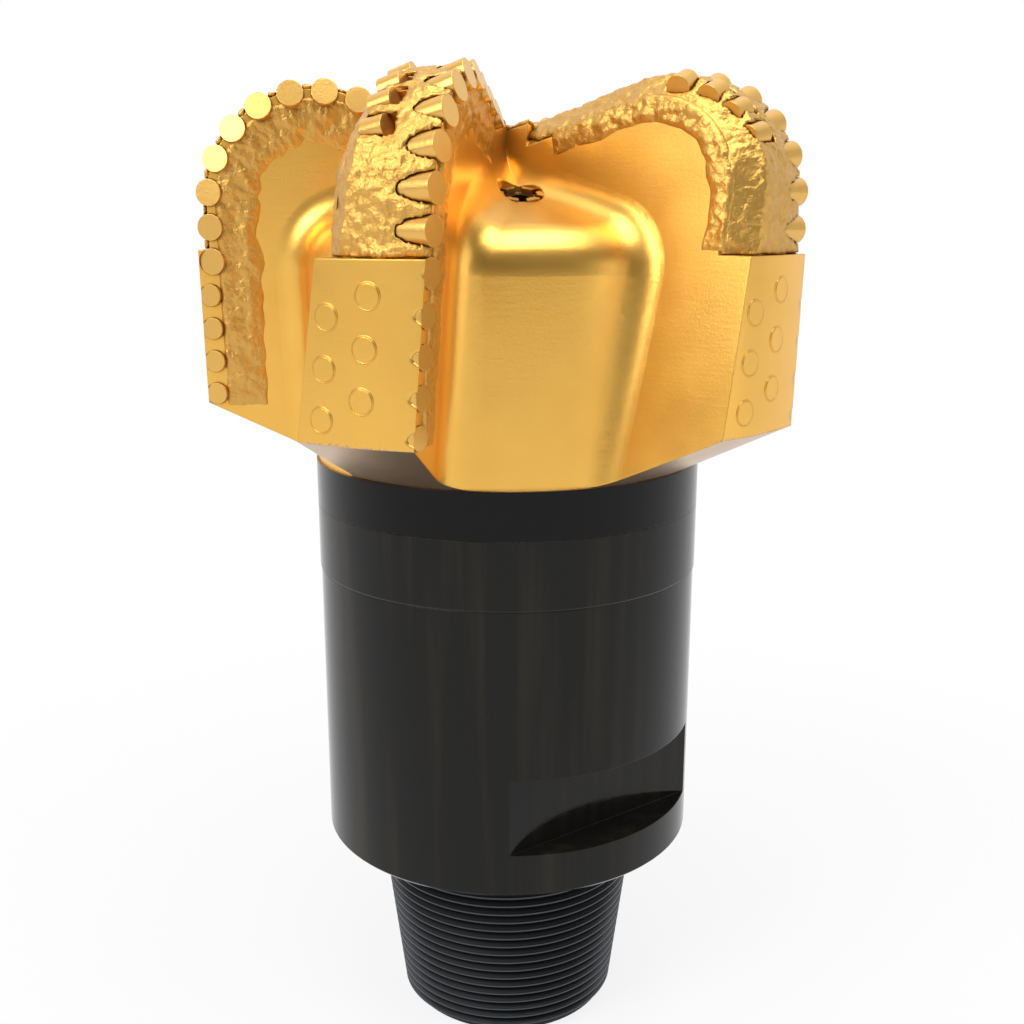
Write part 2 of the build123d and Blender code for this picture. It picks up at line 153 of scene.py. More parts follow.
class Bench:
    """Lays out one material's nodes."""

    def __init__(self, name: str) -> None:
        """Makes a material with a single Principled shader.

        Args:
            name: The material's name.
        """
        self.material = bpy.data.materials.new(name)
        self.material.use_nodes = True
        self.tree = self.material.node_tree
        self.shader = next(n for n in self.tree.nodes if n.type == "BSDF_PRINCIPLED")

    @classmethod
    def for_tree(cls, tree: bpy.types.NodeTree) -> "Bench":
        """Makes a bench on a node tree that is there already.

        Args:
            tree: Such as the world's.

        Returns:
            A bench with no material of its own.
        """
        bench = cls.__new__(cls)
        bench.tree = tree
        return bench

    def add(self, kind: str, settings: dict[str, object], inputs: dict[object, object],
            output: int | str = 0) -> Signal:
        """Adds any node.

        Args:
            kind: The node's type name.
            settings: Properties, set before the sockets.
            inputs: Values or signals by socket index or name.
            output: Which socket is the result.

        Returns:
            The chosen output.
        """
        node = self.tree.nodes.new(kind)
        for name, value in settings.items():
            setattr(node, name, value)
        for key, value in inputs.items():
            self.feed(node.inputs[key], value)
        return Signal(self, node.outputs[output])

    def feed(self, socket: bpy.types.NodeSocket, value: object) -> None:
        """Links a signal to a socket, or sets the socket's own value.

        Args:
            socket: The input to fill.
            value: A signal, a number, a vector or a colour without alpha.
        """
        if isinstance(value, Signal):
            self.tree.links.new(value.socket, socket)
        elif isinstance(value, tuple) and len(value) == 3 and socket.type == "RGBA":
            socket.default_value = (*value, 1.0)
        else:
            socket.default_value = value

    def vector(self, operation: VectorMaths, *values: object) -> Signal:
        """Result of a Vector Math node."""
        kind, output = operation.value
        inputs = dict(enumerate(values))
        return self.add("ShaderNodeVectorMath", {"operation": kind}, inputs, output)

    def place(self) -> Signal:
        """Position in the part's frame, in metres."""
        return self.add("ShaderNodeTexCoord", {}, {}, "Object")

    def height(self) -> Signal:
        """Height above the pin's end, in metres."""
        return self.add("ShaderNodeSeparateXYZ", {}, {0: self.place()}, "Z")

    def radius(self) -> Signal:
        """Distance from the bit's axis, in metres."""
        return self.vector(VectorMaths.LENGTH,
                           self.vector(VectorMaths.MULTIPLY, self.place(), (1.0, 1.0, 0.0)))

    def upward(self) -> Signal:
        """How far the surface faces up, from -1 to 1."""
        normal = self.add("ShaderNodeNewGeometry", {}, {}, "Normal")
        return self.add("ShaderNodeSeparateXYZ", {}, {0: normal}, "Z")

    def ray(self, kind: Ray) -> Signal:
        """1 on rays of one kind and 0 on the rest."""
        return self.add("ShaderNodeLightPath", {}, {}, kind.value)

    def clouds(self, scale: float, detail: float = 3.0, roughness: float = 0.5) -> Signal:
        """Fractal noise between 0 and 1, with scale in cells for each metre."""
        inputs = {"Vector": self.place(), "Scale": scale, "Detail": detail, "Roughness": roughness}
        return self.add("ShaderNodeTexNoise", {}, inputs)

    def grain(self, stretch: Colour, scale: float) -> Signal:
        """Noise stretched along an axis, for turned or drawn marks."""
        stretched = self.vector(VectorMaths.MULTIPLY, self.place(), stretch)
        inputs = {"Vector": stretched, "Scale": scale, "Detail": 3.0}
        return self.add("ShaderNodeTexNoise", {}, inputs)

    def blend(self, factor: Signal | float, first: object, second: object) -> Signal:
        """Mixes two colours."""
        inputs = {0: factor, 6: first, 7: second}
        return self.add("ShaderNodeMix", {"data_type": "RGBA"}, inputs, 2)

    def hollow(self, distance: float) -> Signal:
        """How enclosed the surface is: 1 in a tight corner, 0 in the open."""
        inputs = {"Distance": distance}
        return 1 - self.add("ShaderNodeAmbientOcclusion", {"samples": 8}, inputs, "AO")

    def painted_shade(self, distance: float, gain: float, threshold: float) -> Signal:
        """Painted shade in corners, from ambient occlusion: 1 well inside a corner, 0 in the open.
        """
        return (self.hollow(distance) * gain - threshold).clamped()

    def bump(self, relief: Signal, depth: float, edge: float = 0.0) -> Signal:
        """Makes a bumped normal.

        Args:
            relief: Height of the surface, 0 to 1.
            depth: What a height of 1 stands for, in metres.
            edge: Radius that sharp edges seem rounded to, or 0 for none.

        Returns:
            The normal.
        """
        inputs: dict[object, object] = {"Height": relief, "Distance": depth, "Strength": 1.0}
        if edge:
            inputs["Normal"] = self.add("ShaderNodeBevel", {"samples": 4}, {"Radius": edge})
        return self.add("ShaderNodeBump", {}, inputs)

    def finish(self, **sockets: object) -> bpy.types.Material:
        """Feeds the Principled shader.

        Args:
            **sockets: Values by socket name, with spaces written as underscores.

        Returns:
            The material.
        """
        for name, value in sockets.items():
            self.feed(self.shader.inputs[name.replace("_", " ")], value)
        return self.material


# ------------------------------------------------------------------------------------- finishes


@dataclass(frozen=True)
class CrownPaint:
    """Metallic gold paint over machined steel, with the shank's black below the crown."""

    name: str = "crown_gold_paint"
    colour: Colour = (0.92, 0.53, 0.11)
    cloudy: Colour = (0.84, 0.44, 0.08)
    # Painted shade: the colour that the corners darken towards.
    shade_colour: Colour = (0.36, 0.135, 0.015)
    # Colour of chipped paint along the pads, and of the painted floor reflection on the undersides.
    worn_and_reflected: Colour = (0.50, 0.38, 0.30)
    black: Colour = (0.0, 0.0, 0.0)
    metallic: float = 0.88
    specular: float = 0.22
    roughness: float = 0.25
    roughness_spread: float = 0.12
    neck_gloss: float = 0.17
    edge: float = 1.2 * MM
    relief_depth: float = 0.10 * MM
    relief_cells: float = 900.0
    mottle_cells: float = 40.0
    cloud_cells: float = 22.0
    cloud_threshold: float = 0.35
    corner_reach: float = 20.0 * MM
    corner_strength: float = 0.8
    facing_down: tuple[float, float] = (0.45, 0.62)
    worn_and_reflected_strength: float = 0.75
    underside_cells: float = 330.0
    underside_rise: float = 7.0 * MM
    chip_cells: float = 420.0
    chip_rise: float = 12.0 * MM
    chip_drop: float = 6.5 * MM
    neck_top: float = 386.2 * MM
    underside_top: float = 421.5 * MM
    pad_bottom: float = 420.5 * MM
    pad_radius: tuple[float, float] = (186.0 * MM, 188.0 * MM)
    blur: float = 0.4 * MM

    def tone(self, bench: Bench) -> Signal:
        """Gold, a little cloudy, with painted shade in corners."""
        cloud = (bench.clouds(self.cloud_cells) - self.cloud_threshold).clamped()
        tone = bench.blend(cloud, self.colour, self.cloudy)
        # Painted shade: an occlusion mask darkens the corners.
        corner = bench.painted_shade(self.corner_reach, 1.2, 0.3)
        return bench.blend(corner * self.corner_strength, tone, self.shade_colour)

    def thin_paint_and_reflection(self, bench: Bench, level: Signal) -> Signal:
        """Finds the chipped paint along the pads' lower edge, and the blades' undersides, which get
        a painted reflection of the pale floor over thinner paint.

        Args:
            bench: The material's bench.
            level: Height above the pin's end.

        Returns:
            1 on the blades' undersides and in chips along the pads' lower edge.
        """
        # Painted reflection: faces that point down take the paler colour, as if they mirrored the
        # floor.
        facing_down = (bench.upward() * -1.0).step(*self.facing_down)
        ragged = (bench.clouds(self.underside_cells, 5.0) - 0.5) * self.underside_rise
        top = self.underside_top
        below = 1 - (level + ragged).step(top - 1.5 * self.blur, top + self.blur)
        chips = bench.clouds(self.chip_cells, 5.0, 0.6) * self.chip_rise - self.chip_drop
        low_edge = 1 - (level - chips).step(self.pad_bottom, self.pad_bottom + self.blur)
        outside = bench.radius().step(*self.pad_radius)
        return (facing_down * below + low_edge * outside).clamped()

    def material(self) -> bpy.types.Material:
        """Gold on the crown, black on the neck.

        Returns:
            The material.
        """
        bench = Bench(self.name)
        level = bench.height()
        # Partly chipped paint and partly a painted reflection of the floor on the undersides.
        thin_paint_and_reflection = self.thin_paint_and_reflection(bench, level) * self.worn_and_reflected_strength
        crown = bench.blend(thin_paint_and_reflection, self.tone(bench), self.worn_and_reflected)
        neck = 1 - level.step(self.neck_top - 0.3 * MM, self.neck_top)
        turned = bench.grain((1.0, 1.0, 9.0), 60.0)
        relief = bench.clouds(self.relief_cells, 2.0) * 0.6 + turned * 0.4
        mottled = bench.clouds(self.mottle_cells) * self.roughness_spread + self.roughness
        return bench.finish(Base_Color=bench.blend(neck, crown, self.black),
                            Metallic=(1 - neck) * self.metallic,
                            Roughness=mottled - neck * self.neck_gloss,
                            Specular_IOR_Level=self.specular,
                            Normal=bench.bump(relief, self.relief_depth, self.edge))


@dataclass(frozen=True)
class OverlayPaint:
    """Gold paint on rough weld overlay."""

    name: str = "overlay_gold_paint"
    colour: Colour = (0.68, 0.38, 0.085)
    # Painted shade: the colour that the pits darken towards.
    shade_colour: Colour = (0.20, 0.08, 0.012)
    metallic: float = 0.8
    roughness: float = 0.33
    relief_depth: float = 0.7 * MM
    relief_cells: float = 420.0
    pit_reach: float = 6.0 * MM
    pit_strength: float = 0.9

    def material(self) -> bpy.types.Material:
        """Gold with painted shade in the pits between weld ripples.

        Returns:
            The material.
        """
        bench = Bench(self.name)
        # Painted shade in the pits, from an occlusion mask.
        pit = bench.painted_shade(self.pit_reach, 1.3, 0.15)
        colour = bench.blend(pit * self.pit_strength, self.colour, self.shade_colour)
        relief = bench.clouds(self.relief_cells, 4.0, 0.6)
        return bench.finish(Base_Color=colour, Metallic=self.metallic, Roughness=self.roughness,
                            Normal=bench.bump(relief, self.relief_depth))


@dataclass(frozen=True)
class CutterPaint:
    """Gold paint on the ground cutters, with painted shade where they meet their pockets."""

    name: str = "cutter_gold_paint"
    colour: Colour = (0.82, 0.48, 0.12)
    # Painted shade: the colour of the seats.
    shade_colour: Colour = (0.10, 0.04, 0.01)
    metallic: float = 0.82
    roughness: float = 0.30
    relief_depth: float = 0.08 * MM
    relief_cells: float = 700.0
    edge: float = 0.6 * MM
    seat_reach: float = 5.0 * MM

    def material(self) -> bpy.types.Material:
        """Smooth gold with painted shade at the seats.

        Returns:
            The material.
        """
        bench = Bench(self.name)
        # Painted shade round the seats and in other corners, from an occlusion mask.
        seat = bench.painted_shade(self.seat_reach, 1.5, 0.2)
        relief = bench.clouds(self.relief_cells, 2.0)
        return bench.finish(Base_Color=bench.blend(seat, self.colour, self.shade_colour),
                            Metallic=self.metallic, Roughness=self.roughness,
                            Normal=bench.bump(relief, self.relief_depth, self.edge))


@dataclass(frozen=True)
class ShankPaint:
    """Gloss black paint over turned steel."""

    name: str = "shank_black_paint"
    colour: Colour = (0.006, 0.0055, 0.005)
    # Paler streak colour: thinner paint, and a painted reflection of vertical bands.
    thin_paint_and_reflection: Colour = (0.016, 0.013, 0.008)
    roughness: float = 0.02
    turned_roughness: float = 0.05
    drawn_roughness: float = 0.14
    streaks: tuple[float, float] = (0.45, 0.75)
    specular: float = 0.22
    relief_depth: float = 0.03 * MM
    edge: float = 0.8 * MM

    def material(self) -> bpy.types.Material:
        """Gloss black with faint turning marks and drawn streaks; the streaks' paler colour is
        thinner paint and also a painted reflection of vertical bands.

        Returns:
            The material.
        """
        bench = Bench(self.name)
        turned = bench.grain((0.3, 0.3, 30.0), 30.0)
        drawn = bench.grain((14.0, 14.0, 0.7), 6.0)
        rough = turned * self.turned_roughness + drawn * self.drawn_roughness + self.roughness
        # Painted reflection: paler vertical streaks, drawn as thinner paint, stand in for bands
        # that the surroundings would mirror.
        colour = bench.blend(drawn.step(*self.streaks), self.colour, self.thin_paint_and_reflection)
        return bench.finish(Base_Color=colour, Metallic=0.0, Roughness=rough,
                            Specular_IOR_Level=self.specular,
                            Normal=bench.bump(turned, self.relief_depth, self.edge))


@dataclass(frozen=True)
class ThreadFinish:
    """Oiled, blackened steel."""

    name: str = "thread_black"
    colour: Colour = (0.022, 0.024, 0.026)
    crest: Colour = (0.11, 0.12, 0.13)
    metallic: float = 0.75
    roughness: float = 0.36
    root_reach: float = 3.0 * MM
    crest_strength: float = 0.5

    def material(self) -> bpy.types.Material:
        """Dark steel, lighter on the open crests, with painted shade in the roots.

        Returns:
            The material.
        """
        bench = Bench(self.name)
        # Painted shade: an occlusion mask keeps the roots dark and leaves the crests lighter.
        crest = 1 - bench.painted_shade(self.root_reach, 2.0, 0.0)
        colour = bench.blend(crest * self.crest_strength, self.colour, self.crest)
        return bench.finish(Base_Color=colour, Metallic=self.metallic, Roughness=self.roughness)


@dataclass(frozen=True)
class PlainFinish:
    """A finish with one colour all over."""

    name: str
    colour: Colour
    metallic: float
    roughness: float

    def material(self) -> bpy.types.Material:
        """Plain Principled material."""
        return Bench(self.name).finish(Base_Color=self.colour, Metallic=self.metallic,
                                       Roughness=self.roughness)


NOZZLE_CARBIDE = PlainFinish("nozzle_carbide", (0.10, 0.07, 0.04), 0.9, 0.35)
SEAL_RUBBER = PlainFinish("seal_rubber", (0.02, 0.02, 0.02), 0.0, 0.6)


@dataclass
class Finishes:
    """Every material, made once."""

    crown: bpy.types.Material = field(default_factory=CrownPaint().material)
    overlay: bpy.types.Material = field(default_factory=OverlayPaint().material)
    cutter: bpy.types.Material = field(default_factory=CutterPaint().material)
    shank: bpy.types.Material = field(default_factory=ShankPaint().material)
    thread: bpy.types.Material = field(default_factory=ThreadFinish().material)
    carbide: bpy.types.Material = field(default_factory=NOZZLE_CARBIDE.material)
    seal: bpy.types.Material = field(default_factory=SEAL_RUBBER.material)


# ------------------------------------------------------------------------------------- helpers


def dress(node: bpy.types.Object, material: bpy.types.Material) -> None:
    """Gives a node one material all over."""
    node.data.materials.clear()
    node.data.materials.append(material)


def attach(mesh: bpy.types.Mesh, name: str, material: bpy.types.Material) -> bpy.types.Object:
    """Makes a piece from a mesh and lets it ride on the bit.

    Args:
        mesh: The finished mesh, in metres.
        name: The piece's name.
        material: Its finish.

    Returns:
        The new object.
    """
    piece = bpy.data.objects.new(name, mesh)
    bpy.context.scene.collection.objects.link(piece)
    mesh.materials.clear()
    mesh.materials.append(material)
    for face in mesh.polygons:
        face.use_smooth = True
    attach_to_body(piece, BODY)
    return piece


def join_rows(build: bmesh.types.BMesh, low: Sequence[bmesh.types.BMVert],
              high: Sequence[bmesh.types.BMVert], closed: bool = False) -> None:
    """Fills the strip between two rows of points with quads.

    Args:
        build: Where both rows are.
        low: One row.
        high: The other, with as many points.
        closed: Whether each row is a ring.
    """
    count = len(low)
    for place in range(count if closed else count - 1):
        after = (place + 1) % count
        build.faces.new((low[place], high[place], high[after], low[after]))


def finished_mesh(build: bmesh.types.BMesh, name: str) -> bpy.types.Mesh:
    """Turns the faces outward and ends the building.

    Args:
        build: What was built, freed here.
        name: The mesh's name.

    Returns:
        The mesh.
    """
    bmesh.ops.recalc_face_normals(build, faces=build.faces)
    mesh = bpy.data.meshes.new(name)
    build.to_mesh(mesh)
    build.free()
    return mesh


@dataclass(frozen=True)
class Lumps:
    """Two layers of noise, as weld beads and their spatter leave."""

    coarse: float
    coarse_cells: float
    fine: float
    fine_cells: float

    def at(self, point: Vector) -> float:
        """Height at a point, about -1 to 1, with the cells counted for each metre."""
        broad = noise.fractal(point * self.coarse_cells, 1.0, 2.1, 2)
        narrow = noise.fractal(point * self.fine_cells, 1.0, 2.0, 3)
        return self.coarse * broad + self.fine * narrow


# ---------------------------------------------------------------------------------- the object


@dataclass
class PinThread:
    """Tapered right-hand thread round the pin."""

    pitch: float = 6.35 * MM
    length: float = 133.35 * MM
    crest_radius: float = 88.9 * MM
    taper: float = 1 / 8
    depth: float = 3.75 * MM
    sunk: float = 0.4 * MM
    start: float = 4.5 * MM
    run_out: float = 9.0 * MM
    crest_width: float = 1.0 * MM
    root_share: float = 0.92
    start_turns: float = 0.35
    end_turns: float = 0.8
    segments: int = 120

    def section(self, top: float) -> tuple[tuple[float, float], ...]:
        """The vee as steps along and out, with its crest at top."""
        half, crest = self.pitch / 2 * self.root_share, self.crest_width / 2
        return (-half, -self.sunk), (-crest, top), (crest, top), (half, -self.sunk)

    def mesh(self) -> bpy.types.Mesh:
        """Sweeps the vee section up the cone, sinking it at both ends.

        Returns:
            One closed band.
        """
        turns = (self.length - self.start - self.run_out) / self.pitch
        steps = int(turns * self.segments)
        build = bmesh.new()
        rings = []
        for step in range(steps + 1):
            # A right-hand thread rises as it goes round counter-clockwise.
            angle = 2 * math.pi * step / self.segments
            height = self.start + self.pitch * step / self.segments
            fade = min(1.0, step / (self.start_turns * self.segments),
                       (steps - step) / (self.end_turns * self.segments))
            ring = []
            for along, out in self.section(self.depth * max(0.0, fade)):
                level = height + along
                cone = self.crest_radius - self.depth - (self.length - level) * self.taper
                radius = cone + out
                spot = (radius * math.cos(angle), radius * math.sin(angle), level)
                ring.append(build.verts.new(spot))
            rings.append(ring)
        for low, high in zip(rings, rings[1:]):
            join_rows(build, low, high, closed=True)
        build.faces.new(rings[0])
        build.faces.new(list(reversed(rings[-1])))
        return finished_mesh(build, "pin_thread")

    def build(self, finishes: Finishes) -> None:
        """Adds the thread, with flat flanks.

        Args:
            finishes: Every material.
        """
        piece = attach(self.mesh(), "pin_thread", finishes.thread)
        for face in piece.data.polygons:
            face.use_smooth = False
        LOG.info("pin thread: %d faces", len(piece.data.polygons))


@dataclass
class WeldOverlay:
    """Rough weld overlay on the blade tops."""

    grain: float = 1.3 * MM
    ripple: float = 1.5 * MM
    lumps: Lumps = Lumps(coarse=0.80, coarse_cells=90, fine=0.45, fine_cells=260)

    def rough_copy(self, node: bpy.types.Object, name: str) -> bpy.types.Mesh:
        """Remeshes a solid finely and pushes its surface in and out.

        Args:
            node: The solid to follow.
            name: Name for the mesh.

        Returns:
            The rough mesh.
        """
        twin = bpy.data.objects.new(name + "_source", node.data.copy())
        bpy.context.scene.collection.objects.link(twin)
        remesh = twin.modifiers.new("even", "REMESH")
        remesh.mode = "VOXEL"
        remesh.voxel_size = self.grain
        graph = bpy.context.evaluated_depsgraph_get()
        mesh = bpy.data.meshes.new_from_object(twin.evaluated_get(graph))
        bpy.data.objects.remove(twin)
        mesh.name = name
        moves = [vertex.co + vertex.normal * (self.ripple * self.lumps.at(vertex.co))
                 for vertex in mesh.vertices]
        for vertex, place in zip(mesh.vertices, moves):
            vertex.co = place
        return mesh

    def build(self, nodes: dict[str, bpy.types.Object], finishes: Finishes) -> None:
        """Replaces each blade's plain overlay with a rough one.

        Args:
            nodes: The solids by name.
            finishes: Every material.
        """
        for blade in range(1, BLADES + 1):
            mesh = self.rough_copy(nodes[f"hardfacing_{blade}"], f"weld_overlay_{blade}")
            piece = attach(mesh, f"weld_overlay_{blade}", finishes.overlay)
            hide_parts(f"hardfacing_{blade}")
            LOG.info("weld overlay %d: %d faces", blade, len(mesh.polygons))


class Side(Enum):
    """Which side of a blade a band lies on."""

    LEADING = 1
    TRAILING = -1


@dataclass
class BladeShape:
    """The blades' sizes, as the solids have them."""

    arc_centre: float = 117.0 * MM
    arc_height: float = 542.0 * MM
    arc_radius: float = 69.0 * MM
    cone: float = math.radians(15.3)
    lead_height: float = 528.0 * MM
    lead_tilt: float = 0.08
    trail_offset: float = 29.0 * MM
    trail_flare: float = 0.18
    trail_tilt: float = 0.17

    def lead(self, height: float) -> float:
        """Forward distance of the leading face."""
        return (height - self.lead_height) * self.lead_tilt

    def trail(self, along: float, height: float) -> float:
        """Forward distance of the trailing face."""
        drop = (PAD_TOP - height) * self.trail_tilt
        return -(self.trail_offset + self.trail_flare * along + drop)

    def edge(self, distance: float, low: float) -> tuple[float, float, float, float]:
        """A place on the top edge.

        Args:
            distance: How far up the edge from its low end.
            low: Height of that end.

        Returns:
            Radius, height and the inward normal's two parts.
        """
        straight = self.arc_height - low
        if distance < straight:
            return self.arc_centre + self.arc_radius, low + distance, -1.0, 0.0
        turn = (distance - straight) / self.arc_radius
        angle = min(turn, math.pi / 2 + self.cone)
        run = (turn - angle) * self.arc_radius
        out, up = math.cos(angle), math.sin(angle)
        radius = self.arc_centre + self.arc_radius * out - run * up
        height = self.arc_height + self.arc_radius * up + run * out
        return radius, height, -out, -up


@dataclass
class WeldBand:
    """Band of weld overlay on one side of a blade, just inside its top edge."""

    side: Side
    start: float
    width: float
    thickness: float
    low: float
    inner_radius: float
    step: float = 1.3 * MM
    sunk: float = 0.5 * MM
    mean_lift: float = 0.75
    lumps: Lumps = Lumps(coarse=0.55, coarse_cells=110, fine=0.30, fine_cells=290)
    inner_fade: float = 0.30
    outer_fade: float = 0.10
    low_fade: float = 0.05
    high_fade: float = 0.06
    ragged: float = 0.16
    ragged_cells: float = 60.0
    ragged_shift: float = 7.3
    shape: BladeShape = field(default_factory=BladeShape)

    def length(self) -> float:
        """Finds how long the band is.

        Returns:
            Distance along the top edge from the low end to the inner end.
        """
        distance = self.step
        while self.shape.edge(distance, self.low)[0] > self.inner_radius:
            distance += self.step
        return distance

    def surface(self, distance: float, inward: float, lift: float) -> Vector:
        """Finds a point on the blade's side.

        Args:
            distance: Place along the top edge.
            inward: Distance in from that edge.
            lift: Height above the side.

        Returns:
            The point in the blade's own frame.
        """
        radius, height, across, up = self.shape.edge(distance, self.low)
        radius += across * inward
        height += up * inward
        along = radius
        # The side leans with the distance along the blade, so the two settle together.
        for _ in range(4):
            if self.side is Side.LEADING:
                forward = self.shape.lead(height) + lift
            else:
                forward = self.shape.trail(along, height) - lift
            along = math.sqrt(max(radius**2 - forward**2, 1e-8))
        return Vector((along, forward, height))

    def lift(self, point: Vector, share: float, run: float) -> float:
        """Weld height at a point.

        Args:
            point: Where it is.
            share: Place across the band, 0 at its outer edge and 1 at its inner edge.
            run: Place along the band, 0 to 1.

        Returns:
            Height above the steel, below it at the band's border.
        """
        across = min(1.0, (1 - share) / self.inner_fade, share / self.outer_fade)
        ends = min(1.0, run / self.low_fade, (1 - run) / self.high_fade)
        fade = max(0.0, min(across, ends)) ** 0.5
        rise = self.thickness * (self.mean_lift + self.lumps.at(point))
        return rise * fade - self.sunk * (1 - fade)

    def mesh(self, blade: int, name: str) -> bpy.types.Mesh:
        """Builds the band for one blade.

        Args:
            blade: Which blade, 0 to 4.
            name: The mesh's name.

        Returns:
            A closed sheet.
        """
        turn = Matrix.Rotation(blade_azimuth(blade), 4, "Z")
        length = self.length()
        rows, columns = int(length / self.step), int(self.width / self.step)
        build = bmesh.new()
        top, bottom = [], []
        for row in range(rows + 1):
            distance = length * row / rows
            seed = Vector((distance * self.ragged_cells, blade * self.ragged_shift,
                           self.side.value))
            width = self.width * (1 + self.ragged * noise.noise(seed))
            faces, backs = [], []
            for column in range(columns + 1):
                share = column / columns
                inward = self.start + width * share
                base = turn @ self.surface(distance, inward, 0.0)
                lift = self.lift(base, share, row / rows)
                faces.append(build.verts.new(turn @ self.surface(distance, inward, lift)))
                backs.append(build.verts.new(turn @ self.surface(distance, inward, -2 * self.sunk)))
            top.append(faces)
            bottom.append(backs)
        for low, high in zip(top, top[1:]):
            join_rows(build, low, high)
        for low, high in zip(bottom, bottom[1:]):
            join_rows(build, high, low)
        join_rows(build, top[0], bottom[0])
        join_rows(build, top[-1], bottom[-1])
        for end in (0, -1):
            join_rows(build, [row[end] for row in top], [row[end] for row in bottom])
        return finished_mesh(build, name)

    def build(self, finishes: Finishes) -> None:
        """Adds the band to every blade.

        Args:
            finishes: Every material.
        """
        for blade in range(BLADES):
            name = f"{self.side.name.lower()}_band_{blade + 1}"
            piece = attach(self.mesh(blade, name), name, finishes.overlay)
            LOG.info("%s: %d faces", name, len(piece.data.polygons))


@dataclass
class InsertRings:
    """Thin raised rim of paint and braze round every gauge insert."""

    radius: float = 6.9 * MM
    thickness: float = 0.55 * MM
    flatness: float = 0.7
    around: int = 40
    across: int = 8
    rows: int = 3
    row_pitch: float = 26.4 * MM
    # Degrees behind the blade's plane and depth below the pad's top, for each column's top row.
    columns: tuple[tuple[float, float], ...] = ((9.6, 18.0 * MM), (17.0, 29.0 * MM))
    slant: float = 0.03 / MM

    def places(self, blade: int) -> Iterator[Matrix]:
        """Finds one pad's inserts.

        Args:
            blade: Which blade, 0 to 4.

        Yields:
            Each insert's frame, with Z pointing out of the pad.
        """
        for behind, depth in self.columns:
            for row in range(self.rows):
                drop = row * self.row_pitch
                azimuth = blade_azimuth(blade) - math.radians(behind + drop * self.slant)
                out = Vector((math.cos(azimuth), math.sin(azimuth), 0))
                spot = out * GAUGE_RADIUS + Vector((0, 0, PAD_TOP - depth - drop))
                yield Matrix.Translation(spot) @ out.to_track_quat("Z", "Y").to_matrix().to_4x4()

    def ring(self, build: bmesh.types.BMesh, place: Matrix,
             turn: float) -> list[bmesh.types.BMVert]:
        """Adds the rim's section at one angle, bent to follow the pad's curve.

        Args:
            build: Where to add it.
            place: The insert's frame.
            turn: Angle round the insert.

        Returns:
            The section's points.
        """
        points = []
        for part in range(self.across):
            roll = 2 * math.pi * part / self.across
            reach = self.radius + self.thickness * math.cos(roll)
            spot = place @ Vector((reach * math.cos(turn), reach * math.sin(turn), 0))
            outward = Vector((spot.x, spot.y, 0)).normalized()
            out = GAUGE_RADIUS + self.thickness * self.flatness * math.sin(roll)
            points.append(build.verts.new(outward * out + Vector((0, 0, spot.z))))
        return points

    def mesh(self, blade: int) -> bpy.types.Mesh:
        """Makes all six rims of one pad.

        Args:
            blade: Which blade, 0 to 4.

        Returns:
            Six closed rings.
        """
        build = bmesh.new()
        for place in self.places(blade):
            rings = [self.ring(build, place, 2 * math.pi * step / self.around)
                     for step in range(self.around)]
            for ring, after in zip(rings, rings[1:] + rings[:1]):
                join_rows(build, ring, after, closed=True)
        return finished_mesh(build, "insert_rims")

    def build(self, finishes: Finishes) -> None:
        """Adds the rims.

        Args:
            finishes: Every material.
        """
        for blade in range(BLADES):
            name = f"insert_rims_{blade + 1}"
            attach(self.mesh(blade), name, finishes.crown)
        LOG.info("insert rims on %d pads", BLADES)


@dataclass
class Dressing:
    """Finishes for the pieces whose shape is already right."""

    def build(self, nodes: dict[str, bpy.types.Object], finishes: Finishes) -> None:
        """Paints every node by its kind.

        Args:
            nodes: The solids by name.
            finishes: Every material.
        """
        kinds = {
            "crown_body": finishes.crown, "shank": finishes.shank, "girth_weld": finishes.shank,
            "main_cutters": finishes.cutter, "gauge_cutters": finishes.cutter,
            "backup_cutters": finishes.cutter, "gauge_inserts": finishes.crown,
            "hardfacing": finishes.overlay, "nozzle_retainer": finishes.cutter,
            "nozzle_seal": finishes.seal, "nozzle": finishes.carbide,
        }
        for name, node in nodes.items():
            kind = next(k for k in kinds if name.startswith(k))
            dress(node, kinds[kind])
        LOG.info("dressed %d nodes", len(nodes))


# -------------------------------------------------------------------------------------- studio


@dataclass
class Softbox:
    """A square area light that faces the bit."""

    name: str
    place: tuple[float, float, float]
    size: float
    power: float
    aim: tuple[float, float, float] = (0.0, 0.0, 0.35)

    def build(self) -> None:
        """Adds the light."""
        data = bpy.data.lights.new(self.name, "AREA")
        data.size = self.size
        data.energy = self.power
        lamp = bpy.data.objects.new(self.name, data)
        bpy.context.scene.collection.objects.link(lamp)
        lamp.location = self.place
        aim = Vector(self.aim) - Vector(self.place)
        lamp.rotation_euler = aim.to_track_quat("-Z", "Y").to_euler()


